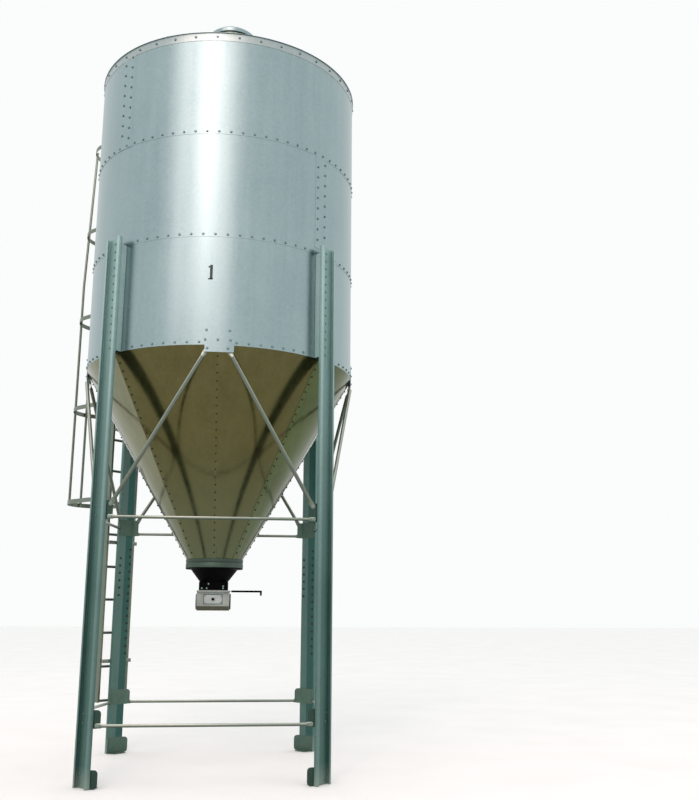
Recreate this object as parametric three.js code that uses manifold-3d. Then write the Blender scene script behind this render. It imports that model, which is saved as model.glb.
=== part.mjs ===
// Galvanised steel storage silo with a cone hopper on four legs.
// Millimetres, +Z up. The origin is at ground level, under the middle of the box that holds the
// tank and its ladder cage. The pieces are drawn about the tank's own axis, and the group is then
// moved by axisShift. The front is toward -Y; angles are measured from the front toward +X.

import * as THREE from 'three';
import { mergeVertices } from 'three/addons/utils/BufferGeometryUtils.js';
import Module from 'manifold-3d';

const wasm = await Module();
wasm.setup();

// Driving dimensions
const gap = 0.3;                  // play kept between touching pieces
const facets = 72;                // flats around the tank
const sheet = 2;                  // sheet thickness
const wallRadius = 1275;          // outside of the lowest ring
const rimZ = 3630;                // bolt line of the bottom rim
const ringPitch = 982;            // from one ring's bolt line to the next
const lapEdge = 25;               // from a bolt line to the edge of its sheet
const sideLap = 165;              // width of a ring's upright lap
const hopperSlope = Math.tan(THREE.MathUtils.degToRad(60));
const outletRadius = 262;         // outside of the hopper's lower end
const roofSlope = Math.tan(THREE.MathUtils.degToRad(30));
const legWidth = 175;
const legDepth = 38;
const legLip = 22;
const legSheet = 4;
const legTopZ = rimZ + ringPitch + 40;
const spacerDepth = 62;           // channels that hold the legs off the wall
const plate = 5;                  // gussets, corner brackets and feet
const upperTieZ = 2155;
const lowerTieZ = 480;
const tieRadius = 13.5;
const braceRadius = 17;
const ladderRadius = 1450;        // from the axis to the ladder's plane
const ladderTopZ = 6660;
const ladderBottomZ = 480;
const ladderKneeZ = 4950;         // above the knee the ladder and its cage lean in to the wall
const ladderLean = 0.06;          // travel toward the wall for each millimetre of height
const rungPitch = 330;

const galvanised = { color: 0xa9b6ba, roughness: 0.38, metalness: 0.85 };
const dullZinc = { color: 0x8f8c7c, roughness: 0.5, metalness: 0.8 };
const blackPaint = { color: 0x17191a, roughness: 0.5, metalness: 0.1 };
const greyPaint = { color: 0xa7acab, roughness: 0.45, metalness: 0.3 };

const silo = new THREE.Group();
const radians = THREE.MathUtils.degToRad;

// Solids

function manifoldOf(geometry) {
  const plain = new THREE.BufferGeometry();
  plain.setAttribute('position', geometry.getAttribute('position').clone());
  if (geometry.index) plain.setIndex(geometry.index.clone());
  const merged = mergeVertices(plain, 1e-3);
  return new wasm.Manifold(new wasm.Mesh({
    numProp: 3,
    vertProperties: new Float32Array(merged.getAttribute('position').array),
    triVerts: new Uint32Array(merged.index.array),
  }));
}

function geometryOf(manifold) {
  const mesh = manifold.getMesh();
  const geometry = new THREE.BufferGeometry();
  geometry.setAttribute('position', new THREE.BufferAttribute(mesh.vertProperties, 3));
  geometry.setIndex(new THREE.BufferAttribute(mesh.triVerts, 1));
  geometry.computeVertexNormals();
  return geometry;
}

function join(...geometries) {
  return geometryOf(geometries.map(manifoldOf).reduce((sum, next) => sum.add(next)));
}

function cut(geometry, ...tools) {
  return geometryOf(tools.map(manifoldOf).reduce((left, tool) => left.subtract(tool), manifoldOf(geometry)));
}

function keep(geometry, tool) {
  return geometryOf(manifoldOf(geometry).intersect(manifoldOf(tool)));
}

function box(x0, x1, y0, y1, z0, z1) {
  const geometry = new THREE.BoxGeometry(x1 - x0, y1 - y0, z1 - z0);
  return geometry.translate((x0 + x1) / 2, (y0 + y1) / 2, (z0 + z1) / 2);
}

function rod(from, to, radius, sides = 12) {
  const start = new THREE.Vector3(...from);
  const end = new THREE.Vector3(...to);
  const along = end.clone().sub(start);
  const geometry = new THREE.CylinderGeometry(radius, radius, along.length(), sides);
  const turn = new THREE.Quaternion().setFromUnitVectors(new THREE.Vector3(0, 1, 0), along.normalize());
  const middle = start.add(end).multiplyScalar(0.5);
  return geometry.applyQuaternion(turn).translate(middle.x, middle.y, middle.z);
}

// A closed profile of [radius, z] points, listed counterclockwise, turned about Z.
function turned(profile, sides = facets) {
  const closed = [...profile, profile[0]].map(([r, z]) => new THREE.Vector2(r, z));
  return new THREE.LatheGeometry(closed, sides).rotateX(Math.PI / 2);
}

// The same for a profile that starts and ends on the axis.
function turnedCap(profile, sides = facets) {
  const points = profile.map(([r, z]) => new THREE.Vector2(r, z));
  return new THREE.LatheGeometry(points, sides).rotateX(Math.PI / 2);
}

function prism(points, z0, z1) {
  const shape = new THREE.Shape(points.map(([x, y]) => new THREE.Vector2(x, y)));
  const geometry = new THREE.ExtrudeGeometry(shape, { depth: z1 - z0, bevelEnabled: false });
  return geometry.translate(0, 0, z0);
}

function add(name, geometry, finish, parent = silo) {
  const mesh = new THREE.Mesh(geometry, new THREE.MeshStandardMaterial(finish));
  mesh.name = name;
  parent.add(mesh);
  return mesh;
}

// Points on the faceted tank: the flats have their corners at whole facets.
const facetAngle = 360 / facets;

function facetRadius(angle, cornerRadius) {
  const fromCorner = ((angle % facetAngle) + facetAngle) % facetAngle;
  const half = facetAngle / 2;
  return cornerRadius * Math.cos(radians(half)) / Math.cos(radians(fromCorner - half));
}

function onFacets(angle, cornerRadius) {
  const r = facetRadius(angle, cornerRadius);
  return [r * Math.sin(radians(angle)), -r * Math.cos(radians(angle))];
}

function arc(from, to, cornerRadius) {
  const angles = [from];
  for (let k = Math.floor(from / facetAngle) + 1; k * facetAngle < to; k++) {
    if (k * facetAngle > from) angles.push(k * facetAngle);
  }
  angles.push(to);
  return angles.map((angle) => onFacets(angle, cornerRadius));
}

function sector(from, to, inner, outer, z0, z1) {
  return prism([...arc(from, to, outer), ...arc(from, to, inner).reverse()], z0, z1);
}

// Wall: three rings of two sheets. Each sheet starts with a lap over the end of the one before it.

const ringStep = sheet + gap;

function wallRing(name, order, lapAngle, topZ, lapBottomZ, lapTopZ) {
  const outer = wallRadius + order * ringStep;
  const z0 = rimZ + order * ringPitch - lapEdge;
  const degree = radians(1) * outer;
  const lap = sideLap / degree;
  const joint = gap / degree;
  const rootNear = 3 / degree;
  const rootFar = 6 / degree;
  const firstStart = lapAngle + lap / 2;
  for (const [side, start] of [['left', firstStart - 180], ['right', firstStart]]) {
    const body = sector(start, start + 180 - joint, outer - sheet, outer, z0, topZ);
    const tongue = prism([
      ...arc(start - lap, start + rootFar, outer + ringStep),
      ...arc(start + rootNear, start + rootFar, outer - sheet / 2).reverse(),
      ...arc(start - lap, start + rootNear, outer + gap).reverse(),
    ], lapBottomZ, lapTopZ);
    add(`${name}_${side}`, join(body, tongue), galvanised);
  }
}

const secondSeamZ = rimZ + ringPitch;
const thirdSeamZ = rimZ + 2 * ringPitch;
const eaveTopZ = 6580;
const eaveBottomZ = 6500;
wallRing('wall_lower', 0, 45, secondSeamZ + lapEdge, rimZ - lapEdge + 1, secondSeamZ - lapEdge - gap);
wallRing('wall_middle', 1, 45, thirdSeamZ + lapEdge, legTopZ + gap, thirdSeamZ - lapEdge - gap);
wallRing('wall_upper', 2, -47, eaveTopZ - 3 - gap, thirdSeamZ - lapEdge + 1, eaveBottomZ - gap);

// Roof: an angle ring round the eave, a low cone with pressed ribs, a filler neck and its lid.

const upperOuter = wallRadius + 2 * ringStep;
const bandInner = upperOuter + gap;
const bandOuter = bandInner + 3;
add('eave_ring', turned([
  [bandInner, eaveBottomZ], [bandOuter, eaveBottomZ], [bandOuter, eaveTopZ],
  [1235, eaveTopZ], [1235, eaveTopZ - 3], [bandInner, eaveTopZ - 3],
]), galvanised);

const roofEdge = 1290;
const roofBend = 1255;
const neckRadius = 240;
const roofZ = eaveTopZ + gap;
const roofTop = roofZ + (roofBend - neckRadius) * roofSlope;
const roofCone = turned([
  [roofBend, roofZ], [roofEdge, roofZ], [roofEdge, roofZ + sheet], [roofBend, roofZ + sheet],
  [neckRadius, roofTop + sheet], [neckRadius, roofTop],
]);
const ribCount = 12;
const firstRib = -27;
const roofRibs = [];
for (let k = 0; k < ribCount; k++) {
  const rib = prism([
    [roofBend + 10, roofZ + 0.5], [roofBend, roofZ + 24], [neckRadius + 30, roofTop - 30 * roofSlope + 24],
    [neckRadius + 12, roofTop - 12 * roofSlope + 0.5],
  ], -12, 12);
  rib.rotateX(Math.PI / 2).rotateZ(radians(firstRib - 90 + k * 360 / ribCount));
  roofRibs.push(rib);
}
add('roof_cone', join(roofCone, ...roofRibs), galvanised);

const lidRise = 110;
const lidRadius = 255;
const lidBall = (lidRadius ** 2 + lidRise ** 2) / (2 * lidRise);
const lidTopZ = 7437;
const ballZ = lidTopZ - lidBall;

function domeArc(ball, edge, steps) {
  const last = Math.asin(edge / ball);
  return Array.from({ length: steps + 1 }, (_, k) => {
    const angle = last * (1 - k / steps);
    return [ball * Math.sin(angle), ballZ + ball * Math.cos(angle)];
  });
}

const outerDome = domeArc(lidBall, lidRadius, 6);
const innerDome = domeArc(lidBall - 3, lidRadius - 3, 6).reverse();
outerDome[outerDome.length - 1][0] = 0;
innerDome[0][0] = 0;

// The neck ends just under the lid.
const neckOuter = neckRadius - gap;
const [[insideR, insideZ], [rimR, rimLidZ]] = innerDome.slice(-2);
const neckTopZ = THREE.MathUtils.mapLinear(neckOuter, insideR, rimR, insideZ, rimLidZ) - gap;
add('fill_neck', turned([
  [neckRadius - 4, roofTop - 40], [neckOuter, roofTop - 40], [neckOuter, neckTopZ],
  [neckRadius - 4, neckTopZ],
]), galvanised);
add('fill_lid', turnedCap([
  ...innerDome, [lidRadius - 3, lidTopZ - lidRise - 35], [lidRadius, lidTopZ - lidRise - 35], ...outerDome,
]), galvanised);

// Hopper: eight panels of a 60 degree cone with an upright flange inside the wall.

const skirtRadius = wallRadius - sheet - gap;
const coneTopZ = rimZ - lapEdge;
const outletZ = coneTopZ - (skirtRadius - outletRadius) * hopperSlope;
const coneThickness = sheet / Math.sin(radians(60));
const coneRing = turned([
  [outletRadius - coneThickness, outletZ], [outletRadius, outletZ], [skirtRadius, coneTopZ],
  [skirtRadius, rimZ + lapEdge], [skirtRadius - sheet, rimZ + lapEdge],
  [skirtRadius - sheet, outletZ + (skirtRadius - sheet - outletRadius + coneThickness) * hopperSlope],
]);
const panels = 8;
const panelAngle = 360 / panels;
const heading = (angle) => new THREE.Vector2(Math.sin(radians(angle)), -Math.cos(radians(angle)));
const wedgeTip = heading(panelAngle / 2).multiplyScalar(gap / 2 / Math.sin(radians(panelAngle / 2)));
const wedgeCorners = [wedgeTip, ...[0, panelAngle].map((angle) => (
  heading(angle).multiplyScalar(2 * wallRadius).add(wedgeTip)))];
const wedge = prism(wedgeCorners.map(({ x, y }) => [x, y]), outletZ - 10, rimZ + 50);
for (let k = 0; k < panels; k++) {
  const slice = wedge.clone().rotateZ(radians(k * panelAngle));
  add(`hopper_panel_${k + 1}`, keep(coneRing, slice), dullZinc);
}

// Legs: lipped channels open outward, each with its foot and two bent corner brackets. A spacer, a
// channel as long as the lowest ring is high, stands between the wall and the leg.

const plainSeat = wallRadius + gap;
const lapSeat = plainSeat + ringStep;
const legWeb = lapSeat + spacerDepth + gap;

// A plate bent to follow the web and, past its edges, the two bracing planes.
const bracketHalf = legWidth / 2 - 4;
const wing = 54 * Math.SQRT1_2;
const wingBend = plate * Math.SQRT1_2;

function bentBracket(z0, z1) {
  return prism([
    [-bracketHalf, 0.5], [-bracketHalf - wingBend, 0], [-bracketHalf - wing - wingBend, -wing],
    [-bracketHalf - wing, -wing - wingBend], [-bracketHalf + 1.5, -plate], [bracketHalf - 1.5, -plate],
    [bracketHalf + wing, -wing - wingBend], [bracketHalf + wing + wingBend, -wing],
    [bracketHalf + wingBend, 0], [bracketHalf, 0.5],
  ], z0, z1);
}

const halfLeg = legWidth / 2;
const legSection = prism([
  [-halfLeg, 0], [halfLeg, 0], [halfLeg, legDepth], [halfLeg - legLip, legDepth],
  [halfLeg - legLip, legDepth - legSheet], [halfLeg - legSheet, legDepth - legSheet],
  [halfLeg - legSheet, legSheet], [-halfLeg + legSheet, legSheet],
  [-halfLeg + legSheet, legDepth - legSheet], [-halfLeg + legLip, legDepth - legSheet],
  [-halfLeg + legLip, legDepth], [-halfLeg, legDepth],
], 0, legTopZ);
const footHeight = 145;
const footSole = box(-65, 65, -90, 0.5, 0, 6);
const legGeometry = join(
  legSection,
  bentBracket(0, footHeight),
  footSole,
  bentBracket(lowerTieZ - 22, lowerTieZ + 122),
  bentBracket(upperTieZ - 22, upperTieZ + 138),
);

// The spacer's web lies against the leg, and its lips lie on the flats of the wall.
const spacerHalf = 73;
const spacerSheet = 3;
const spacerLip = 30;

function spacerGeometry(seat) {
  const onWall = (x) => seat - legWeb - x * Math.tan(radians(facetAngle / 2));
  const side = spacerHalf - spacerSheet;
  const lipEnd = spacerHalf - spacerLip;
  return prism([
    [-spacerHalf, onWall(spacerHalf)], [-lipEnd, onWall(lipEnd)],
    [-lipEnd, onWall(lipEnd) + spacerSheet], [-side, onWall(side) + spacerSheet],
    [-side, -gap - spacerSheet], [side, -gap - spacerSheet],
    [side, onWall(side) + spacerSheet], [lipEnd, onWall(lipEnd) + spacerSheet],
    [lipEnd, onWall(lipEnd)], [spacerHalf, onWall(spacerHalf)],
    [spacerHalf, -gap], [-spacerHalf, -gap],
  ], rimZ - lapEdge, secondSeamZ - lapEdge - gap);
}

const corners = { front_right: 45, back_right: 135, back_left: -135, front_left: -45 };
const spacerSeats = {
  front_right: lapSeat, back_right: plainSeat, back_left: lapSeat, front_left: plainSeat,
};
for (const [name, angle] of Object.entries(corners)) {
  const corner = new THREE.Group();
  corner.rotation.z = radians(angle) + Math.PI;
  corner.position.set(legWeb * Math.sin(radians(angle)), -legWeb * Math.cos(radians(angle)), 0);
  silo.add(corner);
  add(`leg_${name}`, legGeometry.clone(), galvanised, corner);
  add(`spacer_${name}`, spacerGeometry(spacerSeats[name]), galvanised, corner);
}

// Bracing: on each side a gusset on the rim, two braces to the leg brackets and two ties.

const wingX = (legWeb - bracketHalf) * Math.SQRT1_2;
const wingFace = (legWeb + bracketHalf) * Math.SQRT1_2 + plate / 2;
const tabThickness = 5;
const tabY = -(wingFace + gap + tabThickness / 2);

// A bar between two points with its ends pressed into upright tabs.
function tabbedBar(from, to, radius, tabLength, tabWidth) {
  const start = new THREE.Vector3(...from);
  const end = new THREE.Vector3(...to);
  const slope = Math.atan2(end.z - start.z, end.x - start.x);
  const inset = new THREE.Vector3(Math.cos(slope), 0, Math.sin(slope)).multiplyScalar(tabLength * 0.8);
  const tab = (at, side) => {
    const blade = new THREE.BoxGeometry(tabLength, tabThickness, tabWidth);
    blade.rotateY(-slope);
    const middle = inset.clone().multiplyScalar(side * 0.45);
    return blade.translate(at.x + middle.x, at.y, at.z + middle.z);
  };
  const a = start.clone().add(inset);
  const b = end.clone().sub(inset);
  return join(rod(a.toArray(), b.toArray(), radius, 10), tab(start, 1), tab(end, -1));
}

// Heights of the ties: [left end, right end] as each side is seen from outside.
const tieHeights = {
  front: { upper: [upperTieZ, upperTieZ], lower: [lowerTieZ, lowerTieZ] },
  back: { upper: [upperTieZ, upperTieZ], lower: [lowerTieZ, lowerTieZ] },
  right: { upper: [upperTieZ, upperTieZ + 50], lower: [lowerTieZ + 100, lowerTieZ] },
  left: { upper: [upperTieZ + 50, upperTieZ], lower: [lowerTieZ, lowerTieZ + 100] },
};
const sideAngles = { front: 0, right: 90, back: 180, left: -90 };
const gussetHalf = 5.8;
const gussetZ = [3542, 3748];
const tieReach = wingX - 17;
const braceReach = wingX - 30;
for (const [side, angle] of Object.entries(sideAngles)) {
  const frame = new THREE.Group();
  frame.rotation.z = radians(angle);
  silo.add(frame);
  const gusset = sector(-gussetHalf, gussetHalf, wallRadius + gap, wallRadius + gap + plate, ...gussetZ);
  add(`gusset_${side}`, gusset, galvanised, frame);
  const braceTop = [94, -(wallRadius - 10.6), gussetZ[0] + 22];
  const braceFoot = [braceReach, tabY, upperTieZ + 100];
  add(`brace_${side}_right`, tabbedBar(braceTop, braceFoot, braceRadius, 84, 42), galvanised, frame);
  const mirrored = ([x, y, z]) => [-x, y, z];
  add(`brace_${side}_left`, tabbedBar(mirrored(braceFoot), mirrored(braceTop), braceRadius, 84, 42),
    galvanised, frame);
  for (const [level, [leftZ, rightZ]] of Object.entries(tieHeights[side])) {
    const tie = tabbedBar([-tieReach, tabY, leftZ], [tieReach, tabY, rightZ], tieRadius, 60, 38);
    add(`tie_${level}_${side}`, tie, galvanised, frame);
  }
}

// Ladder behind the back left leg, with its stays, and the safety cage round the climber.

const ladderFrame = new THREE.Group();
ladderFrame.rotation.z = radians(corners.back_left) + Math.PI;
silo.add(ladderFrame);
const stileX = 165;
const stileHalf = 12.5;           // half its width along the rungs
const stileReach = 30;            // half its depth toward the climber
const stileCorner = 3;
const rungRadius = 14;

function leanAt(z) {
  return Math.max(0, z - ladderKneeZ) * ladderLean;
}

// An upright bar of the given plan, bent at the knee.
function upright(points, bottomZ, topZ) {
  const shape = new THREE.Shape(points.map(([x, y]) => new THREE.Vector2(x, y)));
  const height = topZ - bottomZ;
  const geometry = new THREE.ExtrudeGeometry(shape, { depth: height, steps: 2, bevelEnabled: false });
  const position = geometry.getAttribute('position');
  for (let k = 0; k < position.count; k++) {
    const atMiddle = Math.abs(position.getZ(k) - height / 2) < 1;
    const z = atMiddle ? ladderKneeZ : bottomZ + position.getZ(k);
    position.setZ(k, z);
    position.setY(k, position.getY(k) - leanAt(z));
  }
  return geometry;
}

const stilePlan = [
  [stileHalf, stileReach - stileCorner], [stileHalf - stileCorner, stileReach],
  [stileCorner - stileHalf, stileReach], [-stileHalf, stileReach - stileCorner],
  [-stileHalf, stileCorner - stileReach], [stileCorner - stileHalf, -stileReach],
  [stileHalf - stileCorner, -stileReach], [stileHalf, stileCorner - stileReach],
];
const ladderPieces = [-1, 1].map((side) => upright(
  stilePlan.map(([x, y]) => [side * stileX + x, ladderRadius + y]), ladderBottomZ, ladderTopZ));
for (let z = ladderBottomZ + 16; z < ladderTopZ; z += rungPitch) {
  const y = ladderRadius - leanAt(z);
  ladderPieces.push(rod([-stileX, y, z], [stileX, y, z], rungRadius, 10));
}
add('ladder', join(...ladderPieces), galvanised, ladderFrame);

const lipFace = legWeb + legDepth + gap;
const middleLapFace = wallRadius + 2 * ringStep + gap;
const upperFace = upperOuter + gap;
const stays = [[880, lipFace], [2060, lipFace], [3240, lipFace], [4420, lipFace], [5440, middleLapFace],
  [6400, upperFace]];
stays.forEach(([z, seat], k) => {
  const armEnd = ladderRadius - stileReach - gap - leanAt(z + 18);
  const arms = [-1, 1].map((side) => box(side * stileX - 4, side * stileX + 4, seat, armEnd, z - 18, z + 18));
  const stay = join(box(-stileX - 10, stileX + 10, seat, seat + plate, z - 18, z + 18), ...arms);
  add(`ladder_stay_${k + 1}`, stay, galvanised, ladderFrame);
});

const cageHalf = 300;
const cageSideY = 425;
const cageBand = 45;
const cageSheet = 5;
const cageTube = 13.5;            // radius of the cage's uprights
const hoopPitch = 1012;
const hoopHeights = [0, 1, 2, 3, 4].map((k) => 2500 + hoopPitch * k);

function hoopPath(offset) {
  const half = cageHalf + offset;
  const bend = offset * 0.4;
  const path = [[-stileX - stileHalf - gap - offset, 0], [-half, 130 - bend], [-half, cageSideY]];
  const steps = 12;
  for (let k = 1; k < steps; k++) {
    const angle = Math.PI * (1 - k / steps);
    path.push([half * Math.cos(angle), cageSideY + half * Math.sin(angle)]);
  }
  path.push([half, cageSideY], [half, 130 - bend], [stileX + stileHalf + gap + offset, 0]);
  return path.map(([x, y]) => [x, y + ladderRadius]);
}

const cagePieces = hoopHeights.map((z) => prism(
  [...hoopPath(0), ...hoopPath(cageSheet).reverse()], z - cageBand / 2, z + cageBand / 2,
).translate(0, -leanAt(z), 0));
const tubeBottom = hoopHeights[0] - cageBand / 2;
const tubeTop = hoopHeights[4] + cageBand / 2;
const tubeSides = 12;
for (const angle of [45, 90, 135]) {
  const reach = cageHalf + cageSheet / 2 - cageTube;
  const x = reach * Math.cos(radians(angle));
  const y = ladderRadius + cageSideY + reach * Math.sin(radians(angle));
  const plan = [];
  for (let k = 0; k < tubeSides; k++) {
    const turn = 2 * Math.PI * k / tubeSides;
    plan.push([x + cageTube * Math.cos(turn), y + cageTube * Math.sin(turn)]);
  }
  cagePieces.push(upright(plan, tubeBottom, tubeTop));
}
add('ladder_cage', join(...cagePieces), galvanised, ladderFrame);

// Outlet: a collar, the black boot, the slide gate with its pull rod, and the discharge box.

const collarTopZ = outletZ - gap;
const collarBottomZ = collarTopZ - 82;
add('outlet_collar', turned([
  [255, collarBottomZ], [268, collarBottomZ], [268, collarBottomZ + 42], [263, collarBottomZ + 42],
  [263, collarBottomZ + 50], [268, collarBottomZ + 50], [268, collarTopZ - 6], [262, collarTopZ],
  [258, collarTopZ], [258, collarBottomZ + 6], [255, collarBottomZ + 6],
], 48), galvanised);

const gateZ = 1560;               // middle of the gate plate
const gateClear = 5;              // running clearance of the plate
const gateThickness = 4;
const slotBottomZ = gateZ - gateThickness / 2 - gateClear;
const slotTopZ = gateZ + gateThickness / 2 + gateClear;
const boxHalf = 150;
const bootTopZ = collarBottomZ - gap;
const bootNeckZ = 1645;           // where the round boot meets its square foot
const bootFoot = 133;
const bootShell = turned([
  [119, slotTopZ], [130, slotTopZ], [130, bootNeckZ], [217, bootTopZ - 14], [266, bootTopZ - 10],
  [266, bootTopZ], [210, bootTopZ], [210, bootTopZ - 12], [119, bootNeckZ],
], 48);
const bootFlange = box(-boxHalf, boxHalf, -boxHalf, boxHalf, slotTopZ, slotTopZ + 5);
const bootSquare = box(-bootFoot, bootFoot, -bootFoot, bootFoot, slotTopZ, bootNeckZ);
const bootHole = rod([0, 0, slotTopZ - 5], [0, 0, bootNeckZ + 5], 124, 48);
add('outlet_boot', join(bootShell, cut(join(bootFlange, bootSquare), bootHole)), blackPaint);

const boxBottomZ = 1383;
const boxDepth = 130;
const chamfer = 40;
const boxWall = 3;

// The chamfered section of the housing, drawn across the silo and run along X.
function housingPrism(inset, topZ) {
  const y = boxDepth - inset;
  const low = boxBottomZ + inset;
  const shape = prism([
    [y, topZ], [-y, topZ], [-y, boxBottomZ + chamfer], [-boxDepth + chamfer, low], [boxDepth - chamfer, low],
    [y, boxBottomZ + chamfer],
  ], -boxHalf + inset, boxHalf - inset);
  return shape.rotateX(Math.PI / 2).rotateZ(Math.PI / 2);
}

const railY = 135;
const ledgeY = 122;
const ledgeTopZ = gateZ - gateThickness / 2 - gap;
const capRadius = 72;
const capZ = boxBottomZ + 82;
const housing = join(
  housingPrism(0, slotBottomZ),
  box(-boxHalf, boxHalf, -boxHalf, boxHalf, slotBottomZ - 4, slotBottomZ),
  box(-boxHalf, boxHalf, railY, boxHalf, slotBottomZ - 1, slotTopZ - gap),
  box(-boxHalf, boxHalf, -boxHalf, -railY, slotBottomZ - 1, slotTopZ - gap),
  box(-boxHalf + 1, boxHalf - 1, ledgeY, railY + 1, slotBottomZ - 1, ledgeTopZ),
  box(-boxHalf + 1, boxHalf - 1, -railY - 1, -ledgeY, slotBottomZ - 1, ledgeTopZ),
  box(-boxHalf, -boxHalf + 10, -boxHalf, boxHalf, slotBottomZ - 1, slotTopZ - gap),
  rod([-boxHalf - 12, 0, capZ], [-boxHalf + 1, 0, capZ], capRadius, 32),
  rod([boxHalf - 1, 0, capZ], [boxHalf + 12, 0, capZ], capRadius, 32),
);
add('discharge_box', cut(housing, housingPrism(boxWall, slotBottomZ - 4),
  rod([0, 0, slotBottomZ - 10], [0, 0, slotBottomZ + 5], 118, 48)), greyPaint);

const gateBack = -134;
const gateFront = 140;
const rodRadius = 9;
const rodEnd = 452;
add('slide_gate', join(
  box(gateBack, gateFront, -129, 129, gateZ - gateThickness / 2, gateZ + gateThickness / 2),
  box(gateFront - 1, gateFront + 32, -30, 30, gateZ - gateThickness / 2, gateZ + gateThickness / 2),
  rod([gateFront + 26, 0, gateZ], [rodEnd, 0, gateZ], rodRadius),
  rod([rodEnd - rodRadius, 0, gateZ + 7], [rodEnd - rodRadius, 0, gateZ - 38], rodRadius),
), blackPaint);

const coverY = -boxDepth - gap;
add('inspection_plate', join(
  box(-88, 88, coverY - 4, coverY, 1440, 1532),
  rod([0, coverY - 3, 1486], [0, coverY - 20, 1486], 13, 16),
), greyPaint);

// The tank's axis stands to the right and in front of the origin, for the cage at the back left.
const cageReach = (ladderRadius + cageSideY) * Math.SQRT1_2 + cageHalf + cageSheet;
const axisShift = (cageReach - roofEdge) / 2;
silo.position.set(axisShift, -axisShift, 0);

export default silo;
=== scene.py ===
import random
from math import asin, atan2, cos, degrees, hypot, pi, radians, sin, sqrt, tan

import bpy
from mathutils import Matrix, Vector


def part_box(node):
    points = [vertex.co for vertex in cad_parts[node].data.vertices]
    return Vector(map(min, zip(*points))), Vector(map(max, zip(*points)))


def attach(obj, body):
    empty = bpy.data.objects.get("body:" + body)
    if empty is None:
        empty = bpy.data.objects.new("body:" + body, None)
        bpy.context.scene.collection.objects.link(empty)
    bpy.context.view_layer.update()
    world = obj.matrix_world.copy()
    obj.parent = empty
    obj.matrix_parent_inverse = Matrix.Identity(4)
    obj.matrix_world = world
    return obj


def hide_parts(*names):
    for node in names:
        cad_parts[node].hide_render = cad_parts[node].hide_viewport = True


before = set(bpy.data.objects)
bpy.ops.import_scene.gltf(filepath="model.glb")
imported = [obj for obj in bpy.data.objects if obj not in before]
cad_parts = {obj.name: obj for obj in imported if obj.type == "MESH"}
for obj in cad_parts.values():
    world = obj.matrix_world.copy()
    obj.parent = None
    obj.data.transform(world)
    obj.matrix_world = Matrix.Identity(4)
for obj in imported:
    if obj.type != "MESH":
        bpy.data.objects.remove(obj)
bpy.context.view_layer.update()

# The tank's own axis, read from the eave ring. Angles are degrees from the front (-Y) toward +X.
ringLow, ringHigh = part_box("eave_ring")
axis = Vector(((ringLow.x + ringHigh.x) / 2, (ringLow.y + ringHigh.y) / 2, 0))
gap = 0.0003
dice = random.Random(7)


def at(angle, radius, z):
    turn = radians(angle)
    return Vector((axis.x + radius * sin(turn), axis.y - radius * cos(turn), z))


def outward(angle):
    return at(angle, 1, 0) - axis


def angleOf(point):
    return degrees(atan2(point.x - axis.x, axis.y - point.y))


def turned(angle, start=axis):
    # a turn about the upright, then a move to the start point
    return Matrix.Translation(start) @ Matrix.Rotation(radians(angle), 4, "Z")


def past(angle, start):
    # how far an angle lies after a start angle, from -20 to 340 degrees
    return (angle - start + 20) % 360 - 20


# Modelling helpers

def clearSelection():
    bpy.ops.object.select_all(action="DESELECT")


def toObject():
    bpy.ops.object.mode_set(mode="OBJECT")


def useOnly(piece):
    clearSelection()
    piece.select_set(True)
    bpy.context.view_layer.objects.active = piece


def namePiece(piece, name):
    piece.name = name
    piece.data.name = name
    return piece


def newPiece(name):
    # names the primitive that was just added and puts its place into its mesh
    bpy.ops.object.transform_apply(location=True, rotation=True, scale=True)
    return namePiece(bpy.context.object, name)


def pick(piece, kind, test):
    # leaves the piece in edit mode with the vertices, edges or faces chosen by their middle
    useOnly(piece)
    bpy.ops.object.mode_set(mode="EDIT")
    bpy.ops.mesh.select_mode(type=kind)
    bpy.ops.mesh.select_all(action="DESELECT")
    toObject()
    mesh = piece.data
    points = [v.co for v in mesh.vertices]
    if kind == "VERT":
        for item in mesh.vertices:
            item.select = test(item.co)
    elif kind == "EDGE":
        for item in mesh.edges:
            a, b = (points[i] for i in item.vertices)
            item.select = test((a + b) / 2, b - a)
    else:
        for item in mesh.polygons:
            item.select = test(item.center, item.normal)
    bpy.ops.object.mode_set(mode="EDIT")


def deletePicked(kind):
    bpy.ops.mesh.delete(type=kind)
    toObject()


def cutPiece(piece, point, direction, **settings):
    pick(piece, "FACE", lambda centre, normal: True)
    bpy.ops.mesh.bisect(plane_co=point, plane_no=direction, **settings)
    toObject()


def extrudeBy(step):
    bpy.ops.mesh.extrude_region_move(TRANSFORM_OT_translate={"value": tuple(step)})


def useModifier(piece, kind, **settings):
    useOnly(piece)
    modifier = piece.modifiers.new(kind.lower(), kind)
    for key, value in settings.items():
        setattr(modifier, key, value)
    bpy.ops.object.modifier_apply(modifier=modifier.name)


def thicken(piece, thickness, offset=0):
    useModifier(piece, "SOLIDIFY", thickness=thickness, offset=offset, use_even_offset=offset == 0)


def joinPieces(name, pieces):
    clearSelection()
    for piece in pieces:
        piece.select_set(True)
    bpy.context.view_layer.objects.active = pieces[0]
    bpy.ops.object.join()
    return namePiece(bpy.context.object, name)


def copyPiece(piece, move=Matrix()):
    double = piece.copy()
    double.data = piece.data.copy()
    bpy.context.collection.objects.link(double)
    double.data.transform(move)
    return double


def dropPiece(piece):
    bpy.data.objects.remove(piece)


def faceOutward():
    bpy.ops.mesh.select_all(action="SELECT")
    bpy.ops.mesh.normals_make_consistent(inside=False)
    toObject()


def finishPiece(piece, finish, nodes=(), body="silo", smooth=35, move=Matrix()):
    piece.data.transform(move)
    useOnly(piece)
    bpy.ops.object.shade_smooth_by_angle(angle=radians(smooth))
    if finish:
        piece.data.materials.clear()
        piece.data.materials.append(finish)
    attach(piece, body)
    if nodes:
        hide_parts(*nodes)


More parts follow.
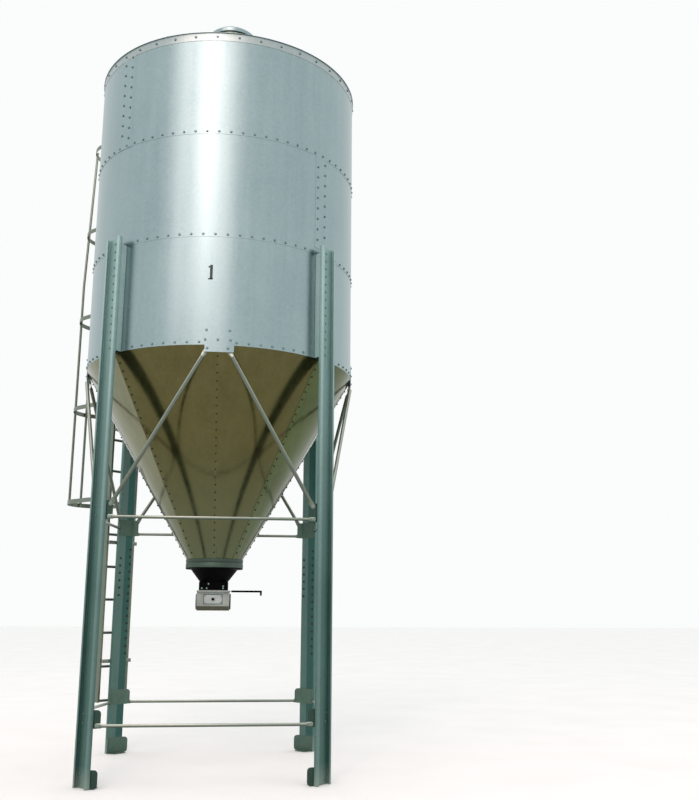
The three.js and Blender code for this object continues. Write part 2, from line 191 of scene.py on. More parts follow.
def makeBox(name, low, high, bevel=0.0, segments=2):
    # a box between two corners with its edges rounded
    low, high = Vector(low), Vector(high)
    bpy.ops.mesh.primitive_cube_add(size=1, location=(low + high) / 2)
    bpy.context.object.scale = high - low
    piece = newPiece(name)
    if bevel:
        useModifier(piece, "BEVEL", width=bevel, segments=segments, limit_method="ANGLE")
    return piece


def makeRod(name, start, end, radius, sides=20, bevel=0.0):
    start, end = Vector(start), Vector(end)
    along = end - start
    bpy.ops.mesh.primitive_cylinder_add(
        vertices=sides, radius=radius, depth=along.length, location=(start + end) / 2,
        rotation=along.to_track_quat("Z", "Y").to_euler())
    piece = newPiece(name)
    if bevel:
        useModifier(piece, "BEVEL", width=bevel, segments=2, limit_method="ANGLE", angle_limit=radians(50))
    return piece


def turnProfile(name, profile, steps=96, closed=True):
    # a profile of (radius, z) points spun about the tank's axis
    if closed:
        profile = profile + profile[:1]
    bpy.ops.mesh.primitive_plane_add(size=0.01, location=axis + Vector((profile[0][0], 0, profile[0][1])))
    piece = newPiece(name)
    bpy.ops.object.mode_set(mode="EDIT")
    bpy.ops.mesh.select_mode(type="VERT")
    bpy.ops.mesh.merge(type="CENTER")
    for (r0, z0), (r1, z1) in zip(profile, profile[1:]):
        extrudeBy((r1 - r0, 0, z1 - z0))
    bpy.ops.mesh.select_all(action="SELECT")
    bpy.ops.mesh.spin(steps=steps, angle=2 * pi, center=axis, axis=(0, 0, 1))
    bpy.ops.mesh.select_all(action="SELECT")
    bpy.ops.mesh.remove_doubles(threshold=0.0001)
    faceOutward()
    return piece


# Materials

def hexColor(text):
    parts = [int(text[i:i + 2], 16) / 255 for i in (1, 3, 5)]
    return [p / 12.92 if p <= 0.04045 else ((p + 0.055) / 1.055) ** 2.4 for p in parts] + [1.0]


def perMetre(millimetres):
    return 1000 / millimetres


def setInputs(tree, node, inputs):
    # a node given as an input stands for its first output
    for key, value in inputs.items():
        if isinstance(value, bpy.types.Node):
            value = value.outputs[0]
        if isinstance(value, bpy.types.NodeSocket):
            tree.links.new(value, node.inputs[key])
        else:
            node.inputs[key].default_value = value


def addNode(tree, kind, inputs=None, stops=(), **settings):
    # stops are a color ramp's pairs of position and hex color
    node = tree.nodes.new("ShaderNode" + kind)
    for key, value in settings.items():
        setattr(node, key, value)
    setInputs(tree, node, inputs or {})
    if stops:
        elements = node.color_ramp.elements
        while len(elements) < len(stops):
            elements.new(0.5)
        for element, (position, color) in zip(elements, stops):
            element.position = position
            element.color = hexColor(color)
    return node


def newMaterial(name, metallic, roughness):
    material = bpy.data.materials.new(name)
    material.use_nodes = True
    tree = material.node_tree
    shader = tree.nodes["Principled BSDF"]
    setInputs(tree, shader, {"Metallic": metallic, "Roughness": roughness})
    return material, tree, shader, addNode(tree, "TexCoord").outputs["Object"]


def paintedLightAndDust(tree, color, place, look):
    # lays painted shade and light, and dust, over a clean color
    layers = []
    if "paintedShade" in look:
        # the channels hold a painted shade value: the web and its corners are painted darker, as in the lips'
        # shade
        depth = addNode(tree, "Attribute", attribute_name="paintedShade")
        layers.append((depth.outputs["Fac"], hexColor(look["paintedShade"]), "MULTIPLY"))
    if "under" in look:
        # painted light: the tops lighter and the undersides darker, by which way each face turns
        facing = addNode(tree, "NewGeometry")
        upward = addNode(tree, "SeparateXYZ", {"Vector": facing.outputs["Normal"]})
        turned = addNode(tree, "MapRange", {"Value": upward.outputs["Z"], "From Min": -1.0, "From Max": 1.0})
        paintedLightByFacing = addNode(tree, "ValToRGB", {"Fac": turned}, [
            (0.15, look["under"]), (0.55, look["side"]), (0.85, look["upper"])])
        layers.append((1.0, paintedLightByFacing, "MULTIPLY"))
    # the painted low shade darkens the lower part, and dust lies over the lower part
    for cover, blend in (("paintedLowShade", "MULTIPLY"), ("dust", "MIX")):
        if cover in look:
            # the whole share below the low height, fading to nothing at the high one
            low, high, share = look[cover]
            height = addNode(tree, "SeparateXYZ", {"Vector": place})
            fade = addNode(tree, "MapRange", {
                "Value": height.outputs["Z"], "From Min": low, "From Max": high,
                "To Min": share, "To Max": 0.0})
            layers.append((fade, hexColor(look[cover + "Color"]), blend))
    for share, over, blend in layers:
        mixed = addNode(tree, "Mix", {0: share, 6: color, 7: over}, data_type="RGBA", blend_type=blend)
        color = mixed.outputs[2]
    return color


def zincMaterial(name, look):
    # hot-dip galvanised steel: spangle in the color and the gloss, upright rain streaks, and a
    # slightly wavy sheet that breaks up the reflections
    material, tree, shader, place = newMaterial(name, look["metallic"], look["roughness"])
    streaks = addNode(tree, "Mapping", {"Vector": place, "Scale": (1, 1, look["streakStretch"])})
    streakNoise = addNode(tree, "TexNoise", {
        "Vector": streaks, "Scale": perMetre(look["streak"]), "Detail": 3.0, "Roughness": 0.6})
    spangle = addNode(tree, "TexVoronoi", {
        "Vector": place, "Scale": perMetre(look["spangle"]), "Randomness": 1.0})
    patch = addNode(tree, "TexNoise", {"Vector": place, "Scale": perMetre(look["patch"]), "Detail": 2.0})
    grain = addNode(tree, "RGBToBW", {"Color": spangle.outputs["Color"]})
    mixed = addNode(tree, "Mix", {
        0: look["spangleShare"], 2: streakNoise.outputs["Fac"], 3: grain}, data_type="FLOAT")
    tone = addNode(tree, "Mix", {0: 0.4, 2: mixed, 3: patch.outputs["Fac"]}, data_type="FLOAT")
    clean = addNode(tree, "ValToRGB", {"Fac": tone}, list(zip((0.25, 0.75), look["colors"])))
    color = paintedLightAndDust(tree, clean, place, look)
    gloss = addNode(tree, "MapRange", {
        "Value": tone, "From Min": 0.3, "From Max": 0.7,
        "To Min": look["roughness"] - look["glossRange"], "To Max": look["roughness"] + look["glossRange"]})
    waves = addNode(tree, "Mapping", {"Vector": place, "Scale": (1, 1, look["waveStretch"])})
    waveNoise = addNode(tree, "TexNoise", {"Vector": waves, "Scale": perMetre(look["wave"]), "Detail": 1.0})
    wavy = addNode(tree, "Bump", {
        "Height": waveNoise.outputs["Fac"], "Strength": look["waveStrength"], "Distance": look["waveDepth"]})
    fine = addNode(tree, "Bump", {"Height": grain, "Strength": 0.1, "Distance": 0.0004, "Normal": wavy})
    setInputs(tree, shader, {"Base Color": color, "Roughness": gloss, "Normal": fine})
    return material


def paintMaterial(name, look):
    # sprayed paint on steel: faint orange peel, dust on it and a change of gloss where it is rubbed
    material, tree, shader, place = newMaterial(name, 0.0, look["roughness"])
    dirt = addNode(tree, "TexNoise", {
        "Vector": place, "Scale": perMetre(look["dirt"]), "Detail": 5.0, "Roughness": 0.65}).outputs["Fac"]
    clean = addNode(tree, "ValToRGB", {"Fac": dirt}, list(zip((0.35, 0.7), look["colors"])))
    color = paintedLightAndDust(tree, clean, place, look)
    gloss = addNode(tree, "MapRange", {
        "Value": dirt, "From Min": 0.35, "From Max": 0.65,
        "To Min": look["roughness"] - 0.06, "To Max": look["roughness"] + 0.12})
    peel = addNode(tree, "TexNoise", {"Vector": place, "Scale": perMetre(6), "Detail": 1.0})
    bump = addNode(tree, "Bump", {"Height": peel.outputs["Fac"], "Strength": 0.15, "Distance": 0.0005})
    setInputs(tree, shader, {"Base Color": color, "Specular IOR Level": look["shine"], "Roughness": gloss,
                             "Normal": bump})
    return material


# new rolled galvanised sheet, still bright: broad upright reflections in a bluish grey. Sizes in mm
wallLook = {
    "metallic": 0.95, "roughness": 0.3, "glossRange": 0.04, "colors": ("#8a9ea1", "#9cafb1"),
    "streak": 90, "streakStretch": 0.06, "spangle": 22, "spangleShare": 0.3, "patch": 700,
    "wave": 420, "waveStretch": 0.35, "waveDepth": 0.004, "waveStrength": 0.5}
# roll-formed galvanised channel, duller and greener than the sheet, with painted shade in its recesses and
# painted shade darker towards the ground
channelLook = {
    "metallic": 0.3, "roughness": 0.45, "glossRange": 0.06, "colors": ("#86a09e", "#9bb6b4"),
    "paintedLowShade": (1.6, 4.2, 1.0), "paintedLowShadeColor": "#9baea7", "paintedShade": "#12a59d",
    "dust": (0.02, 0.17, 0.75), "dustColor": "#7d9086",
    "streak": 60, "streakStretch": 0.05, "spangle": 25, "spangleShare": 0.35, "patch": 400,
    "wave": 300, "waveStretch": 0.3, "waveDepth": 0.002, "waveStrength": 0.4}
# galvanised tube, pale and matt, with painted light on its tops and painted shade on its undersides
tubeLook = {
    "metallic": 0.85, "roughness": 0.36, "glossRange": 0.06, "colors": ("#b9c0b8", "#cfd5cd"),
    "under": "#4c5850", "side": "#a3aaa1", "upper": "#ffffff",
    "streak": 40, "streakStretch": 0.4, "spangle": 18, "spangleShare": 0.4, "patch": 250,
    "wave": 200, "waveStretch": 1.0, "waveDepth": 0.001, "waveStrength": 0.3}
# zinc on the hopper's underside, its brown a painted reflection of the ground, with dust over its lower part
hopperLook = {
    "metallic": 0.92, "roughness": 0.17, "glossRange": 0.05, "colors": ("#4b482a", "#5d5a39"),
    "dust": (1.85, 2.9, 0.75), "dustColor": "#5a634c",
    "streak": 110, "streakStretch": 0.08, "spangle": 25, "spangleShare": 0.25, "patch": 350,
    "wave": 350, "waveStretch": 0.3, "waveDepth": 0.003, "waveStrength": 0.4}
# pressed corner brackets and feet, dull and handled, with painted light on their tops and painted shade
# underneath
bracketLook = {**tubeLook, "metallic": 0.5, "roughness": 0.45, "colors": ("#6c8a80", "#8da89c"),
               "under": "#4f655e", "side": "#aab4ac", "upper": "#c8d0c8"}
wallZinc = zincMaterial("brightGalvanisedSheet", wallLook)
channelZinc = zincMaterial("galvanisedChannel", channelLook)
tubeZinc = zincMaterial("galvanisedTube", tubeLook)
bracketZinc = zincMaterial("dullGalvanisedPlate", bracketLook)
# the same plate in painted shade, dark, on the front legs
shadedBracketZinc = zincMaterial("bracketPlatePaintedShade", {**bracketLook, "colors": ("#33534b", "#46685f")})
# the rolled ring of the outlet, darker than the brackets
collarZinc = zincMaterial("darkGalvanisedRing", {**bracketLook, "colors": ("#53675e", "#6e8076")})
# the rolled angle of the eave, a little lighter than the sheet
plateZinc = zincMaterial("lightGalvanisedAngle", {
    **wallLook, "roughness": 0.34, "colors": ("#9aa6a6", "#adb8b7")})
hopperZinc = zincMaterial("dustyHopperSheetPaintedReflection", hopperLook)
# the same sheet with a paler painted reflection on the panels to the left, and a darker painted reflection on
# the panels to the right
paleReflectionHopperZinc = zincMaterial("hopperSheetPaintedPaleReflection", {**hopperLook, "colors": ("#6b6e58", "#86886f")})
darkReflectionHopperZinc = zincMaterial("hopperSheetPaintedDarkReflection", {**hopperLook, "colors": ("#434e30", "#58643f")})
# the bare cast caps on the ends of the box, with painted light on top and painted shade underneath
castMetal = zincMaterial("bareCastMetal", {**tubeLook, "roughness": 0.45, "colors": ("#6d756e", "#878f88")})
# zinc-plated bolts, a little darker than the sheet
boltZinc = zincMaterial("zincPlatedBolt", {
    "metallic": 0.8, "roughness": 0.4, "glossRange": 0.05, "colors": ("#66807c", "#89a29d"),
    "streak": 10, "streakStretch": 1.0, "spangle": 8, "spangleShare": 0.4, "patch": 60,
    "wave": 30, "waveStretch": 1.0, "waveDepth": 0.0002, "waveStrength": 0.2})
# black powder coat on the boot and the gate
blackPaint = paintMaterial("blackPowderCoat", {
    "roughness": 0.5, "shine": 0.03, "dirt": 120, "colors": ("#010202", "#060707")})
# light grey machine enamel on the discharge box, with painted light on its top and painted shade underneath
greyPaint = paintMaterial("greyMachineEnamel", {
    "roughness": 0.4, "shine": 0.4, "dirt": 150, "colors": ("#a2a9a5", "#868d88"),
    "under": "#6c6a4e", "side": "#f4f6f4", "upper": "#ffffff"})
# the same enamel, cleaner, on the inspection plate
platePaint = paintMaterial("cleanMachineEnamel", {
    "roughness": 0.4, "shine": 0.4, "dirt": 150, "colors": ("#a9b0ad", "#959c98")})
# the painted numeral, weathered dark green grey
numeralPaint = paintMaterial("darkNumeralPaint", {
    "roughness": 0.55, "shine": 0.3, "dirt": 40, "colors": ("#2a3a35", "#3f5049")})
# black rubber sealing washers under the bolt heads, weathered to grey
washerRubber = paintMaterial("blackSealingRubber", {
    "roughness": 0.7, "shine": 0.3, "dirt": 30, "colors": ("#455551", "#5d6e69")})
# the same bolts, so dark that the zinc does not show
darkBolt = paintMaterial("darkenedBolt", {
    "roughness": 0.75, "shine": 0.3, "dirt": 30, "colors": ("#23271b", "#3a3d2c")})
print("materials made")


# Bolts

bolt = {"headRadius": 0.009, "headHeight": 0.0082, "washerRadius": 0.0115, "washerHeight": 0.0022}


def makeDisc(name, sides, radius, height, inset, finish):
    # a short prism standing on the origin, its top set in and raised
    disc = makeRod(name, (0, 0, 0), (0, 0, height), radius, sides)
    pick(disc, "FACE", lambda centre, normal: normal.z > 0.9)
    bpy.ops.mesh.inset(thickness=inset, depth=0.6 * inset)
    toObject()
    disc.data.materials.append(finish)
    return disc


# a hexagon head on its sealing washer
boltPattern = joinPieces("boltPattern", [
    makeDisc("boltHead", 6, bolt["headRadius"], bolt["headHeight"], 0.002, boltZinc),
    makeDisc("boltWasher", 12, bolt["washerRadius"], bolt["washerHeight"], 0.001, washerRubber)])


def placeBolts(name, places, scale=1.0, finish=None):
    # places holds (point, direction) pairs; each bolt is turned by chance
    bolts = []
    for point, direction in places:
        turn = direction.to_track_quat("Z", "Y").to_matrix().to_4x4()
        spin = Matrix.Rotation(dice.uniform(0, pi / 3), 4, "Z")
        bolts.append(copyPiece(boltPattern, Matrix.Translation(point) @ turn @ spin @ Matrix.Scale(scale, 4)))
    finishPiece(joinPieces(name, bolts), finish, smooth=30)


# Wall

wall = {"radius": 1.275, "step": 0.0023, "sheet": 0.002, "facets": 288, "rim": 3.63, "pitch": 0.982,
        "edge": 0.025, "lap": 7.5, "rows": 2.25, "boltsRound": 75, "boltPitch": 0.104}
eave = {"top": 6.58, "bottom": 6.5, "bolt": 6.54, "outer": 1.2829, "inner": 1.235, "sheet": 0.003,
        "boltsRound": 40}
leg = {"web": 1.3399, "width": 0.175, "depth": 0.038, "lip": 0.022, "sheet": 0.004, "top": 4.652,
       "bend": 0.007, "bolts": 14, "boltPitch": 0.0745, "shade": 0.061,
       "backRows": [(-0.055, 1.53, 6), (0.066, 0.95, 15)]}
edge, step = wall["edge"], wall["step"]
seams = [wall["rim"] + k * wall["pitch"] for k in range(3)]
# each ring's name, the middle of its side lap, its top, and the low and high end of the lapped edge
rings = [("lower", 45, seams[1] + edge, seams[0] - edge + 0.001, seams[1] - edge - gap),
         ("middle", 45, seams[2] + edge, leg["top"] + gap, seams[2] - edge - gap),
         ("upper", -47, eave["top"] - eave["sheet"] - gap, seams[2] - edge + 0.001, eave["bottom"] - gap)]


def makeBand(name, lowRadius, highRadius, low, high):
    # the open skin of a cylinder or cone about the tank's axis
    bpy.ops.mesh.primitive_cone_add(
        vertices=wall["facets"], radius1=lowRadius, radius2=highRadius, depth=high - low,
        end_fill_type="NOTHING", location=(axis.x, axis.y, (low + high) / 2))
    return newPiece(name)


def makeSheet(name, radius, start, low, high, lapLow, lapHigh):
    # half a ring: 180 degrees of plain sheet, and before it the edge that laps over the other sheet
    sheet = makeBand(name, radius, radius, low, high)
    pick(sheet, "FACE", lambda centre, normal: not -wall["lap"] < past(angleOf(centre), start) < 180)
    deletePicked("FACE")
    for height in (lapLow, lapHigh):
        if low + 0.002 < height < high - 0.002:
            cutPiece(sheet, (0, 0, height), (0, 0, 1))
    pick(sheet, "FACE", lambda centre, normal: past(angleOf(centre), start) < 0
         and not lapLow - 0.002 < centre.z < lapHigh)
    deletePicked("FACE")
    pick(sheet, "VERT", lambda point: past(angleOf(point), start) < -0.1)
    bigger = (radius + step) / radius
    bpy.ops.transform.resize(value=(bigger, bigger, 1), center_override=(axis.x, axis.y, 0))
    toObject()
    thicken(sheet, wall["sheet"], -1)
    return sheet


wallBolts = []


def boltWall(angle, radius, z):
    wallBolts.append((at(angle, radius, z), outward(angle)))


for order, (ring, seam, top, *lapSpan) in enumerate(rings):
    radius = wall["radius"] + order * step
    first = seam + wall["lap"] / 2
    for side, start in (("right", first), ("left", first - 180)):
        sheet = makeSheet(f"{ring}{side.title()}Sheet", radius, start, seams[order] - edge, top, *lapSpan)
        finishPiece(sheet, wallZinc, [f"wall_{ring}_{side}"])
    # two staggered rows of bolts up each side lap, but none behind a leg
    for half in (0, 180):
        for row, firstBolt in ((-1, 1.2), (1, 0.7)):
            z = seams[order] + wall["boltPitch"] * firstBolt
            while z < seams[order] + wall["pitch"] - 0.04:
                if z >= leg["top"] + 0.02 or seam != 45:
                    boltWall(seam + half + row * wall["rows"], radius + step, z)
                z += wall["boltPitch"]


def ringAngles(count):
    return [360 * (k + 0.5) / count for k in range(count)]


def near(angle, middle, width):
    # whether an angle lies near one of four middles, 90 degrees apart
    return abs((angle - middle + 45) % 90 - 45) < width


for angle in ringAngles(wall["boltsRound"]):
    if not near(angle, 45, 4.3):
        boltWall(angle, wall["radius"] + step, seams[1])
        if not near(angle, 0, 6.5):
            boltWall(angle, wall["radius"], seams[0])
    boltWall(angle, wall["radius"] + 2 * step, seams[2])
for angle in ringAngles(eave["boltsRound"]):
    boltWall(angle, eave["outer"], eave["bolt"])
placeBolts("wallBolts", wallBolts)
print("wall made")


# Eave ring, roof, filler neck and lid

roof = {"edge": 1.29, "bend": 1.255, "slope": tan(radians(30)), "sheet": 0.002, "ribs": 12,
        "firstRib": -27, "ribWidth": 0.03, "ribHeight": 0.024, "boltAside": 0.03,
        "boltRadii": (0.4, 0.62, 0.84, 1.06, 1.2)}
neck = {"radius": 0.2397, "wall": 0.004, "low": 7.126, "top": 7.332}
lid = {"radius": 0.255, "rise": 0.11, "top": 7.437, "sheet": 0.003, "skirt": 0.035}

out, top, low, sheet = eave["outer"], eave["top"], eave["bottom"], eave["sheet"]
eaveBand = turnProfile("eaveBand", [
    (out - sheet, low), (out, low + 0.001), (out, top - 0.006), (out - 0.002, top - 0.001),
    (out - 0.006, top), (eave["inner"], top), (eave["inner"], top - sheet), (out - sheet, top - sheet)], 288)
finishPiece(eaveBand, plateZinc, ["eave_ring"])

mouth, edge, bend, sheet = neck["radius"], roof["edge"], roof["bend"], roof["sheet"]
roofZ = eave["top"] + gap
roofTop = roofZ + (bend - mouth) * roof["slope"]
roofSheet = turnProfile("roofSheet", [
    (mouth, roofTop), (bend, roofZ), (edge, roofZ), (edge, roofZ + sheet), (bend, roofZ + sheet),
    (mouth, roofTop + sheet)], 288)
finishPiece(roofSheet, wallZinc, ["roof_cone"])


def makeRib():
    # a pressed rib that runs up the cone, drawn along +X from the axis and tapered at both ends
    low = Vector((roof["bend"] + 0.008, 0, roofZ + 0.001))
    high = Vector((neck["radius"] + 0.014, 0, roofTop - 0.014 * roof["slope"] + 0.001))
    length = (high - low).length
    width, height = roof["ribWidth"], roof["ribHeight"]
    rib = makeBox("ribPattern", (0, -width / 2, 0), (length, width / 2, height))
    pick(rib, "FACE", lambda centre, normal: normal.z > 0.9)
    bpy.ops.transform.resize(value=((length - 0.03) / length, 0.45, 1),
                             center_override=(length / 2, 0, height))
    toObject()
    useModifier(rib, "BEVEL", width=0.006, segments=3, limit_method="ANGLE")
    lean = (high - low).to_track_quat("X", "Z").to_matrix().to_4x4()
    rib.data.transform(Matrix.Translation(low) @ lean)
    return rib


ribPattern = makeRib()
ribs = []
roofBolts = []
for k in range(roof["ribs"]):
    angle = roof["firstRib"] + 360 * k / roof["ribs"]
    ribs.append(copyPiece(ribPattern, turned(angle - 90)))
    lean = (outward(angle) + Vector((0, 0, 1 / roof["slope"]))).normalized()
    for side in (-1, 1):
        for r in roof["boltRadii"]:
            z = roofZ + roof["sheet"] + (roof["bend"] - r) * roof["slope"]
            roofBolts.append((at(angle + side * degrees(roof["boltAside"] / r), r, z), lean))
dropPiece(ribPattern)
finishPiece(joinPieces("roofRibs", ribs), wallZinc)
placeBolts("roofBolts", roofBolts)

outer, inner = neck["radius"], neck["radius"] - neck["wall"]
low, top = neck["low"], neck["top"]
fillerNeck = turnProfile("fillerNeck", [(inner, low), (outer, low), (outer, top), (inner, top)])
finishPiece(fillerNeck, tubeZinc, ["fill_neck"])

ball = (lid["radius"] ** 2 + lid["rise"] ** 2) / (2 * lid["rise"])
ballZ = lid["top"] - ball


def domeArc(radius, edge, steps=14):
    # from the edge of the dome up to its top
    last = asin(edge / radius)
    turns = [last * (1 - k / steps) for k in range(steps + 1)]
    return [(radius * sin(turn), ballZ + radius * cos(turn)) for turn in turns]


skirtZ = lid["top"] - lid["rise"] - lid["skirt"]
inner = lid["radius"] - lid["sheet"]
fillerLid = turnProfile("fillerLid", [
    *domeArc(ball - lid["sheet"], inner)[::-1],
    (inner, skirtZ), (lid["radius"] - 0.001, skirtZ), (lid["radius"], skirtZ + 0.002),
    *domeArc(ball, lid["radius"])], closed=False)
finishPiece(fillerLid, wallZinc, ["fill_lid"])
print("roof made")


# Hopper

hopper = {"top": 1.2727, "outlet": 0.262, "topZ": 3.605, "flange": 0.05, "panels": 8, "lap": 0.025,
          "raise": 0.0022, "sheet": 0.002, "boltPitch": 0.0745, "pitch": radians(60)}
hopper["slope"] = tan(hopper["pitch"])
hopper["outletZ"] = hopper["topZ"] - (hopper["top"] - hopper["outlet"]) * hopper["slope"]


def makePanel(index):
    # an eighth of the cone, with its flange inside the wall and one edge lapped over the next panel
    start = index * 360 / hopper["panels"]
    end = start + 360 / hopper["panels"]
    topZ, lap = hopper["topZ"], hopper["lap"]
    panel = makeBand(f"hopperPanel{index + 1}", hopper["outlet"], hopper["top"], hopper["outletZ"], topZ)
    pick(panel, "EDGE", lambda middle, along: middle.z > topZ - 0.001)
    extrudeBy((0, 0, hopper["flange"]))
    toObject()
    pick(panel, "FACE", lambda centre, normal: not -11.25 < past(angleOf(centre), start) < 56.25)
    deletePicked("FACE")
    for angle, side in ((start, -1), (end, 1)):
        across = outward(angle + 90)
        cutPiece(panel, axis + across * side * lap, across, clear_inner=side < 0, clear_outer=side > 0)
    across = outward(start + 90)
    cutPiece(panel, axis + across * lap, across)
    cutPiece(panel, (0, 0, topZ - 0.006), (0, 0, 1))
    pick(panel, "VERT", lambda point: (point - axis).dot(across) < lap - 0.0005 and point.z < topZ - 0.005)
    bpy.ops.transform.shrink_fatten(value=hopper["raise"])
    toObject()
    thicken(panel, hopper["sheet"], -1)
    return panel


hopperBolts = []
# each panel's colour carries a painted reflection: pale on the left panels, dark on the right ones
panelFinishes = [hopperZinc, darkReflectionHopperZinc, darkReflectionHopperZinc, hopperZinc,
                 hopperZinc, paleReflectionHopperZinc, paleReflectionHopperZinc, hopperZinc]
for index, finish in enumerate(panelFinishes):
    panel = makePanel(index)
    finishPiece(panel, finish, [f"hopper_panel_{index + 1}"])
    angle = index * 360 / hopper["panels"]
    lean = outward(angle) * sin(hopper["pitch"]) - Vector((0, 0, cos(hopper["pitch"])))
    lean.normalize()
    r = hopper["outlet"] + 0.03
    while r < hopper["top"] - 0.02:
        z = hopper["outletZ"] + (r - hopper["outlet"]) * hopper["slope"]
        hopperBolts.append((at(angle, r, z) + lean * (hopper["raise"] + 0.0002), lean))
        r += hopper["boltPitch"] * cos(hopper["pitch"])
placeBolts("hopperBolts", hopperBolts, scale=0.75, finish=darkBolt)
print("hopper made")


# Legs, their feet, corner brackets and spacers. They are drawn with X along the web and Y outward.

corners = {"front_right": 45, "back_right": 135, "back_left": -135, "front_left": -45}
spacer = {"half": 0.073, "sheet": 0.003, "lip": 0.03, "bend": 0.005, "low": 3.605, "high": 4.5867,
          "seats": {"front_right": 1.2776, "back_right": 1.2753, "back_left": 1.2776, "front_left": 1.2753}}
bracket = {"half": 0.0835, "wing": 0.054, "plate": 0.005, "bend": 0.008, "corner": 0.03, "boltX": 0.045,
           "spans": {"foot": (0.0, 0.145), "lower": (0.458, 0.602), "upper": (2.133, 2.293)}}


def foldedPlane(name, half, y, low, high, steps):
    # an upright plane that faces Y; its sides are folded out by steps of (x outward, y)
    bpy.ops.mesh.primitive_plane_add(size=1, rotation=(pi / 2, 0, 0), location=(0, y, (low + high) / 2))
    bpy.context.object.scale = (2 * half, high - low, 1)
    folded = newPiece(name)
    for side in (-1, 1):
        pick(folded, "EDGE", lambda middle, along: middle.x * side > half - 0.001 and abs(along.z) > 0.1)
        for stepX, stepY in steps:
            extrudeBy((side * stepX, stepY, 0))
        toObject()
    return folded


def bendFolds(piece, half, bend, segments):
    # rounds the folds at the web's edges and further out; the piece is left in edit mode
    pick(piece, "EDGE", lambda middle, along: abs(along.z) > 0.1 and abs(middle.x) > half - 0.001)
    bpy.ops.mesh.bevel(offset=bend, segments=segments)


def makeLeg():
    # a web with its sides and lips folded out, rounded at the folds
    half = leg["width"] / 2
    channel = foldedPlane("legPattern", half, 0, 0, leg["top"], [(0, leg["depth"]), (-leg["lip"], 0)])
    bendFolds(channel, half, leg["bend"], 4)
    for x in (-leg["shade"], -0.004, 0.004, leg["shade"]):
        bpy.ops.mesh.select_all(action="SELECT")
        bpy.ops.mesh.bisect(plane_co=(x, 0, 0), plane_no=(1, 0, 0))
    faceOutward()
    thicken(channel, leg["sheet"])
    # the folded sheet is moved so that its outer face is where the web lies
    low = min(v.co.y for v in channel.data.vertices)
    channel.data.transform(Matrix.Translation((0, -low, 0)))
    # painted shade at each point: the corners of the web most, and one half of its back more than the other
    paintedShade = channel.data.attributes.new("paintedShade", "FLOAT", "POINT")
    for point, item in zip(channel.data.vertices, paintedShade.data):
        corner = abs(point.co.x) > leg["shade"] + 0.001
        # the painted shade is deepest at the foot and fades upward along the leg
        shade = (0.45 if corner else 0.3) * (1.5 - 0.6 * point.co.z / leg["top"])
        if point.co.y < leg["sheet"] / 2:
            item.value = 0.25 if point.co.x < 0 else 0.85
        else:
            item.value = (1 - point.co.y / leg["depth"]) * shade
    return channel


def makeBracket(name, low, high):
    # a bent plate behind the web, with a wing along each bracing plane
    half = bracket["half"]
    reach = bracket["wing"] * sqrt(0.5)
    plate = foldedPlane(name, half, 0, low, high, [(reach, -reach)])
    pick(plate, "VERT", lambda point: abs(point.x) > half + 0.01)
    bpy.ops.mesh.bevel(offset=bracket["corner"], segments=4, affect="VERTICES")
    toObject()
    pick(plate, "EDGE", lambda middle, along: abs(abs(middle.x) - half) < 0.001 and abs(along.z) > 0.05)
    bpy.ops.mesh.bevel(offset=bracket["bend"], segments=3)
    faceOutward()
    thicken(plate, bracket["plate"])
    plate.data.transform(Matrix.Translation((0, -bracket["plate"] / 2, 0)))
    return plate


def makeSpacer(name, seat):
    # a channel that holds the leg off the wall: its web on the leg, its lips on the flats of the wall
    half = spacer["half"] - spacer["sheet"] / 2
    webY = -gap - spacer["sheet"] / 2
    lean = tan(radians(2.5))
    lipY = seat - leg["web"] - half * lean + spacer["sheet"] / 2
    channel = foldedPlane(name, half, webY, spacer["low"], spacer["high"],
                          [(0, lipY - webY), (-spacer["lip"], spacer["lip"] * lean)])
    bendFolds(channel, half, spacer["bend"], 3)
    faceOutward()
    thicken(channel, spacer["sheet"])
    return channel


legPattern = makeLeg()
bracketPattern = joinPieces("bracketPattern", [
    *[makeBracket(f"plate{k}", *span) for k, span in bracket["spans"].items()],
    makeBox("sole", (-0.065, -0.09, 0), (0.065, 0, 0.006), 0.0015)])
webSpots = [(0, wall["rim"] + k * leg["boltPitch"]) for k in range(leg["bolts"])]
bracketSpots = [(x, low + share * (high - low)) for low, high in bracket["spans"].values()
                for x in (-bracket["boltX"], bracket["boltX"]) for share in (0.25, 0.75)]
legBolts = []
backBolts = []
for corner, angle in corners.items():
    name = corner.title().replace("_", "")
    turn = turned(angle + 180, at(angle, leg["web"], 0))
    channel = namePiece(copyPiece(legPattern), f"leg{name}")
    finishPiece(channel, channelZinc, [f"leg_{corner}"], move=turn)
    plates = namePiece(copyPiece(bracketPattern), f"brackets{name}")
    # the front legs' brackets get the painted shade
    finishPiece(plates, shadedBracketZinc if corner.startswith("front") else bracketZinc, move=turn)
    channel = makeSpacer(f"spacer{name}", spacer["seats"][corner])
    finishPiece(channel, channelZinc, [f"spacer_{corner}"], move=turn)
    for x, z in webSpots + bracketSpots:
        legBolts.append((turn @ Vector((x, leg["sheet"], z)), outward(angle)))
    # the two spare rows on the back of the web
    for x, z, count in leg["backRows"]:
        for k in range(count):
            backBolts.append((turn @ Vector((x, 0, z + k * leg["boltPitch"])), -outward(angle)))
dropPiece(legPattern)
dropPiece(bracketPattern)
placeBolts("legBolts", legBolts, scale=0.8)
placeBolts("legBackBolts", backBolts, finish=darkBolt)
print("legs made")


# Bracing: flattened tubes from the gussets on the rim to the corner brackets, and two ties a side

